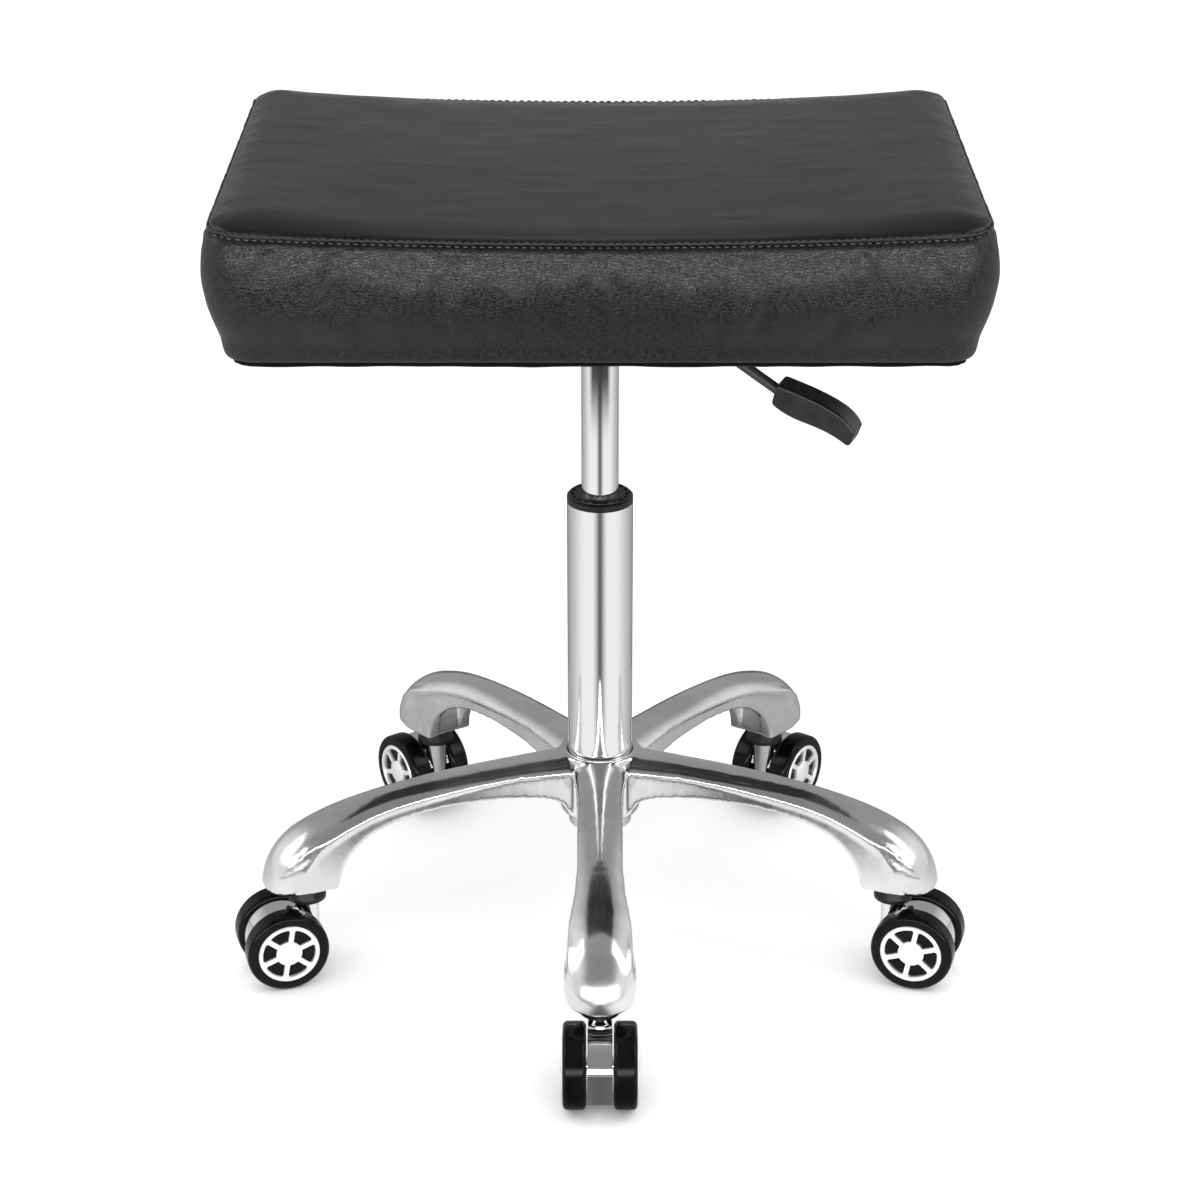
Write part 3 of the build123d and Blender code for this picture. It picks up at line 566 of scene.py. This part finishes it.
def pucker(spot):
    """Small folds that fan out from the four top corners, where the seam is pulled tight."""
    total = 0.0
    for sx in (-1, 1):
        for sy in (-1, 1):
            dx = spot.x - sx * (SEAM_HALF_W - 4 * MM)
            dy = spot.y - sy * (SEAM_HALF_D - 4 * MM)
            dz = spot.z - SEAM_END_Z
            away = sqrt(dx * dx + dy * dy + dz * dz)
            fan = sin(9 * atan2(dz, hypot(dx, dy) + NEAR_ZERO) + 5 * atan2(dy, dx) * sx)
            total += fan * exp(-(away / (17 * MM)) ** 2)
    return total


def make_cushion():
    """The filled cushion with its sunk seam; gives back the points of the seam."""
    points, faces, panel, loop, pinned = cushion_shell()
    piece = new_piece("cushion", points, faces, "seat", [leather_top, leather_band])
    mesh = piece.data
    mesh.polygons.foreach_set("material_index", panel)
    top_count = max(max(faces[i]) for i in range(len(faces)) if panel[i] == 0) + 1
    swollen = fill_with_pressure(piece, pinned)
    moves = [swollen[i] - points[i] for i in range(len(points))]
    top_most = max(moves[i].length for i in range(top_count)) or 1.0
    band_most = max(moves[i].length for i in range(top_count, len(points))) or 1.0
    for i, spot in enumerate(points):
        if i < top_count:
            share, limit = top_most, PUFF_TOP
        else:
            share, limit = band_most, PUFF_BAND
        fade = min(1.0, max(0.0, spot.z - UNDERSIDE_Z) / FADE)
        mesh.vertices[i].co = spot + moves[i] * min(1.0, limit / share) * fade
    mesh.update()
    sink_seam(mesh, loop)
    close_underside(mesh)
    smoother = piece.modifiers.new("smooth", "SUBSURF")
    smoother.levels = 1
    smoother.render_levels = 1
    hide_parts("seat_cover", "seat_foam")
    return [mesh.vertices[i].co.copy() for i in loop]


def sink_seam(mesh, loop):
    """Pulls a groove in along the seam, rolls the cloth up on both sides, and puckers the corners."""
    normals = [v.normal.copy() for v in mesh.vertices]
    seam = set(loop)
    for i, vertex in enumerate(mesh.vertices):
        spot = vertex.co
        if spot.z < UNDERSIDE_Z + 3 * MM:
            continue
        away = seam_distance(spot)
        groove = -2.0 * MM * exp(-(away / (1.5 * MM)) ** 2)
        roll = 0.9 * MM * exp(-((away - 4.6 * MM) / (2.6 * MM)) ** 2)
        drift = 0.3 * MM * noise.noise(spot * 26) * min(1, away / (12 * MM)) + wrinkle(spot, normals[i].z)
        inner = normals[i] if i not in seam else Vector((spot.x, spot.y, 0)).normalized() * 0.8
        vertex.co = spot + inner * (groove + roll + drift + 0.7 * MM * pucker(spot))
    mesh.update()


def close_underside(mesh):
    """Fills in the flat underside, which rests on the board."""
    work = bmesh.new()
    work.from_mesh(mesh)
    rim = [edge for edge in work.edges if edge.is_boundary]
    filled = bmesh.ops.holes_fill(work, edges=rim, sides=0)
    for face in filled["faces"]:
        face.material_index = 1
    work.to_mesh(mesh)
    work.free()


def wrinkle(spot, facing_up):
    """Shallow creases: long ones from side to side on top, short upright ones around the sides."""
    across = spot.x if abs(abs(spot.y) - SEAM_HALF_D) < abs(abs(spot.x) - SEAM_HALF_W) else spot.y
    flat = max(0, facing_up)
    long_crease = abs(noise.noise(Vector((spot.x * 16, spot.y * 75, 5.0)))) * 0.55
    upright = abs(noise.noise(Vector((across * 120, spot.z * 50, 9.0)))) * 0.5
    ring = abs(noise.noise(Vector((across * 210, spot.z * 120, 4.0)))) * 0.35
    return (long_crease * flat + (upright + ring) * (1 - flat)) * MM


def seam_distance(spot):
    """How far a point of the cover is from the seam line."""
    plan = edge_distance(spot.x, spot.y)
    return hypot(max(0.0, plan), spot.z - seam_z(spot.x))


seam_line = make_cushion()


# ---- Seam edge and stitches --------------------------------------------------------------------

def walk(line, spacing):
    """Evenly spaced points along a closed line, with the direction at each."""
    out = []
    left = 0.0
    count = len(line)
    for i in range(count):
        a, b = line[i], line[(i + 1) % count]
        span = (b - a).length
        while left < span:
            out.append((a.lerp(b, left / span), (b - a).normalized()))
            left += spacing
        left -= span
    return out


def outward(spot):
    """The plan direction that points out of the cushion at its seam."""
    dx = max(0, abs(spot.x) - (SEAM_HALF_W - SEAM_CORNER_R))
    dy = max(0, abs(spot.y) - (SEAM_HALF_D - SEAM_CORNER_R))
    if dx == 0 and dy == 0:
        return Vector((0, 0, 0))
    return Vector((dx * (1 if spot.x > 0 else -1), dy * (1 if spot.y > 0 else -1), 0)).normalized()


def make_seam_edge(line):
    """The folded edge of the top panel that lies along the seam, wavy between its stitches."""
    path, radii = [], []
    run = 0.0
    for spot, _ in walk(line, SEAM_STEP):
        wave = sin(2 * pi * run / STITCH) + 0.7 * noise.noise(Vector((run * 160, 3.1, 0.4)))
        corner = min(abs(abs(spot.x) - SEAM_HALF_W), 20 * MM) + min(abs(abs(spot.y) - SEAM_HALF_D), 20 * MM)
        crumple = 1.0 + 1.6 * exp(-(corner / (22 * MM)) ** 2)
        lift = 1.0 * MM + 0.30 * MM * wave * crumple
        path.append(spot + Vector((0, 0, lift)) + outward(spot) * (0.9 * MM + 0.25 * MM * wave))
        radii.append(SEAM_BEAD_R * (1 + 0.14 * wave))
        run += SEAM_STEP
    points, faces = tube(path, SEAM_BEAD_R, sides=8, closed=True, radii=radii)
    # Its leatherette is coloured lighter than the panels, as a painted highlight on the bead
    new_piece("cushion_seam_edge", points, faces, "seat", [seam_fold])


def make_stitches(line):
    """Thread that dips in and out along the seam, one short arched bar for each stitch."""
    parts = []
    for spot, along in walk(line, STITCH):
        centre = spot + outward(spot) * 1.0 * MM - Vector((0, 0, 1.3 * MM))
        half = STITCH * 0.24
        arch = []
        for k in range(-3, 4):
            bow = 1 - (k / 3) ** 2
            arch.append(centre + along * (half * k / 3) + outward(spot) * (0.45 * MM * bow))
        parts.append(tube(arch, 0.32 * MM, sides=6))
    points, faces = gather(parts)
    new_piece("seam_stitches", points, faces, "seat", [sewing_thread])


make_seam_edge(seam_line)
make_stitches(seam_line)


# ---- Underside of the cushion ------------------------------------------------------------------

def make_dust_cover():
    """Thin cloth under the board, whose edge hangs a little and ripples; gives back its half sizes."""
    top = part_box("dust_cover")[1].z
    half_w = cover_high.x - BULGE - BOTTOM_INSET - 7 * MM
    half_d = cover_high.y - BULGE - BOTTOM_INSET - 3 * MM
    xs = graded(half_w, 8 * MM, [1.5 * MM, 3 * MM])
    ys = graded(half_d, 8 * MM, [1.5 * MM, 3 * MM])
    columns, rows = len(xs), len(ys)
    points = []
    for layer in (0, CLOTH_THICKNESS):
        for y in ys:
            for x in xs:
                px, py = rounded(x, y, half_w, half_d, 14 * MM)
                rim = min(half_w - abs(px), half_d - abs(py))
                hem = exp(-(rim / HEM_FADE) ** 2)
                ripple = noise.noise(Vector((px * 34, py * 34, 2.0)))
                clear = max(abs(px), abs(py)) > PLATE_REACH
                sag = (0.5 + 0.5 * ripple) * CLOTH_SAG * (1 - hem) if clear else 0.0
                drop = hem * (HEM_DROP + HEM_RIPPLE * ripple)
                points.append(Vector((px, py, top - CLOTH_GAP - sag - drop - layer)))
    faces = []
    size = columns * rows
    for j in range(rows - 1):
        for i in range(columns - 1):
            a = j * columns + i
            faces.append((a, a + 1, a + columns + 1, a + columns))
            faces.append((size + a, size + a + columns, size + a + columns + 1, size + a + 1))
    loop = around_grid(columns, rows)
    for k in range(len(loop)):
        a, b = loop[k], loop[(k + 1) % len(loop)]
        faces.append((b, a, size + a, size + b))
    piece = new_piece("dust_cloth", points, faces, "seat", [finishes["dust_cloth"]])
    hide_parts("dust_cover")
    return half_w, half_d


def make_staples(half_w, half_d):
    """Wire staples around the dust cover, all the same distance in from its edge."""
    parts = []
    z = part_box("dust_cover")[0].z - 1.9 * MM
    for along_x in (True, False):
        length = 2 * ((half_w if along_x else half_d) - 18 * MM)
        count = int(length / STAPLE_SPACING)
        for side in (-1, 1):
            for k in range(count + 1):
                at = -length / 2 + length * k / count + random.uniform(-4, 4) * MM
                tilt = random.uniform(-0.35, 0.35)
                if along_x:
                    centre = Vector((at, side * (half_d - STAPLE_INSET), z))
                    lie = Vector((cos(tilt), sin(tilt), 0))
                else:
                    centre = Vector((side * (half_w - STAPLE_INSET), at, z))
                    lie = Vector((sin(tilt), cos(tilt), 0))
                crown = [centre + lie * (STAPLE_HALF_CROWN * s) for s in (-1, 1)]
                leg = Vector((0, 0, STAPLE_LEG))
                legs = [crown[0] + leg, crown[0], crown[1], crown[1] + leg]
                parts.append(tube(legs, STAPLE_WIRE_R, sides=5))
    points, faces = gather(parts)
    new_piece("dust_cover_staples", points, faces, "seat", [finishes["zinc_steel"]],
              smooth=False)


cloth_half_w, cloth_half_d = make_dust_cover()
make_staples(cloth_half_w, cloth_half_d)


# ---- Casting and paddle ------------------------------------------------------------------------

def softened(node, name, voxel, factor, passes, material, body):
    """A copy of a made part as one skin, with every edge and inner corner rounded off."""
    skin = bpy.data.objects.new(name, frame["nodes"][node].data.copy())
    bpy.context.scene.collection.objects.link(skin)
    remesh = skin.modifiers.new("skin", "REMESH")
    remesh.mode = "VOXEL"
    remesh.voxel_size = voxel
    smooth = skin.modifiers.new("polish", "SMOOTH")
    smooth.factor = factor
    smooth.iterations = passes
    bpy.context.view_layer.update()
    evaluated = skin.evaluated_get(bpy.context.evaluated_depsgraph_get())
    mesh = bpy.data.meshes.new_from_object(evaluated)
    skin.modifiers.clear()
    skin.data = mesh
    dress(skin, material)
    mesh.polygons.foreach_set("use_smooth", [True] * len(mesh.polygons))
    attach(skin, body)
    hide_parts(node)


softened("star_base", "star_base_casting", 1.5 * MM, 0.6, 9, finishes["polished_aluminium"], "base")
softened("lever_paddle", "lever_paddle_moulding", 0.7 * MM, 0.5, 10,
         finishes["black_lever_plastic"], "lever")


# ---- Studio ------------------------------------------------------------------------------------

def flat_panel(name, half_x, half_y, height, material):
    """A level rectangle centred on the origin, part of the studio."""
    corners = [(-half_x, -half_y, height), (half_x, -half_y, height), (half_x, half_y, height),
               (-half_x, half_y, height)]
    mesh = bpy.data.meshes.new(name)
    mesh.from_pydata(corners, [], [(0, 1, 2, 3)])
    mesh.materials.append(material)
    panel = bpy.data.objects.new(name, mesh)
    bpy.context.scene.collection.objects.link(panel)
    return panel


def make_floor():
    f = Finish("studio_floor", Roughness=0.9)
    f.drive("Base Color", f.tint((0.86, 0.86, 0.86), (0.89, 0.89, 0.89), f.speckle(3)))
    flat_panel("floor", 30, 30, 0, f.material)


def make_sweep_card():
    """What polished and shiny parts see in place of the floor: a sheet graded around the stool.

    It is dark straight ahead and behind, bright to both sides, and far ahead it is a light bank."""
    f = Finish("sweep_card", Roughness=1.0)
    f.shader.inputs["Base Color"].default_value = (0, 0, 0, 1)
    f.shader.inputs["Specular IOR Level"].default_value = 0
    f.shader.inputs["Emission Strength"].default_value = 1
    x, y, z = f.axes()
    turn = f.node("ShaderNodeMath", {"operation": "ARCTAN2"}, {0: x.size(), 1: 0 - y}) * (1 / pi)
    stops = [(0.0, 0.12), (0.025, 0.2), (0.05, 0.42), (0.09, 0.72), (0.13, 0.98), (0.33, 1.0),
             (0.43, 0.84), (0.56, 0.62), (0.66, 0.50), (0.78, 0.38), (0.88, 0.2), (1.0, 0.1)]
    around = f.ramp(stops, turn)
    reach = (x * x + y * y) ** 0.5
    ahead = 1 - turn.over(0.24, 0.42)
    dim = ahead * reach.over(1.05, 1.3)
    bank = ahead * reach.over(3.2, 4.2)
    glow = around * (1 - dim) + dim * 0.05
    f.drive("Emission Color", f.tint((0, 0, 0), (1.4, 1.4, 1.4), glow * (1 - bank) * (1 / 1.4) + bank))
    card = flat_panel("sweep_card", 9, 9, 0.8 * MM, f.material)
    card.visible_camera = False
    card.visible_diffuse = False
    card.visible_shadow = False
    card.visible_transmission = False


def make_lamp(name, place, aim, width, height, watts, mirrored=True):
    """A soft box. With mirrored off, it lights the stool and isn't seen in its polished parts."""
    light = bpy.data.lights.new(name, "AREA")
    light.shape = "RECTANGLE"
    light.size = width
    light.size_y = height
    light.energy = watts
    lamp = bpy.data.objects.new(name, light)
    bpy.context.scene.collection.objects.link(lamp)
    lamp.location = place
    lamp.rotation_euler = (Vector(aim) - Vector(place)).to_track_quat("-Z", "Y").to_euler()
    lamp.visible_camera = False
    lamp.visible_glossy = mirrored


def make_world():
    """White room light. What is mirrored is grey, brighter to both sides and a little dimmer in front."""
    world = bpy.data.worlds.new("studio")
    bpy.context.scene.world = world
    world.use_nodes = True
    world.cycles.sampling_method = "NONE"
    s = Shading(world.node_tree)
    background = s.tree.nodes["Background"]
    x, y, z = s.axes("Generated")
    back = y.over(0.0, 0.5)
    high = z.over(0.55, 0.85)
    front = (0 - y).over(0.1, 0.5)
    side = x.size().over(0.45, 0.85)
    mirrored = 0.32 + back * 0.01 * (1 - high) + side * 0.45 - front * 0.06 * (1 - side)
    glossy = s.node("ShaderNodeLightPath", out="Is Glossy Ray")
    level = mirrored * glossy + (1 - glossy) * 0.92
    s.feed(background.inputs["Strength"], level)
    background.inputs["Color"].default_value = (1, 1, 1, 1)


LENS = 91.1                            # millimetres, on a sensor 36 mm wide
CAMERA_SPOT = (0, -2.112, 1.245)
CAMERA_DIP = 24.5                      # degrees below level


def make_camera():
    data = bpy.data.cameras.new("camera")
    data.sensor_width = 36
    data.lens = LENS
    camera = bpy.data.objects.new("camera", data)
    bpy.context.scene.collection.objects.link(camera)
    camera.location = CAMERA_SPOT
    camera.rotation_euler = (radians(90 - CAMERA_DIP), 0, 0)
    bpy.context.scene.camera = camera


make_floor()
make_sweep_card()
make_world()
make_lamp("ceiling", (0, 0, 4.0), (0, 0, 0), 9.0, 9.0, 200, mirrored=False)
make_lamp("front_bank", (0, -3.3, 0.80), (0, 0, 0.70), 6.5, 0.8, 95)
make_lamp("left_panel", (-2.0, -0.2, 1.5), (0, 0, 0.2), 1.0, 1.4, 5.5)
make_lamp("right_panel", (1.9, -0.5, 1.9), (0, 0, 0.2), 0.8, 1.6, 8)
make_camera()
bpy.context.scene.view_settings.view_transform = "Standard"
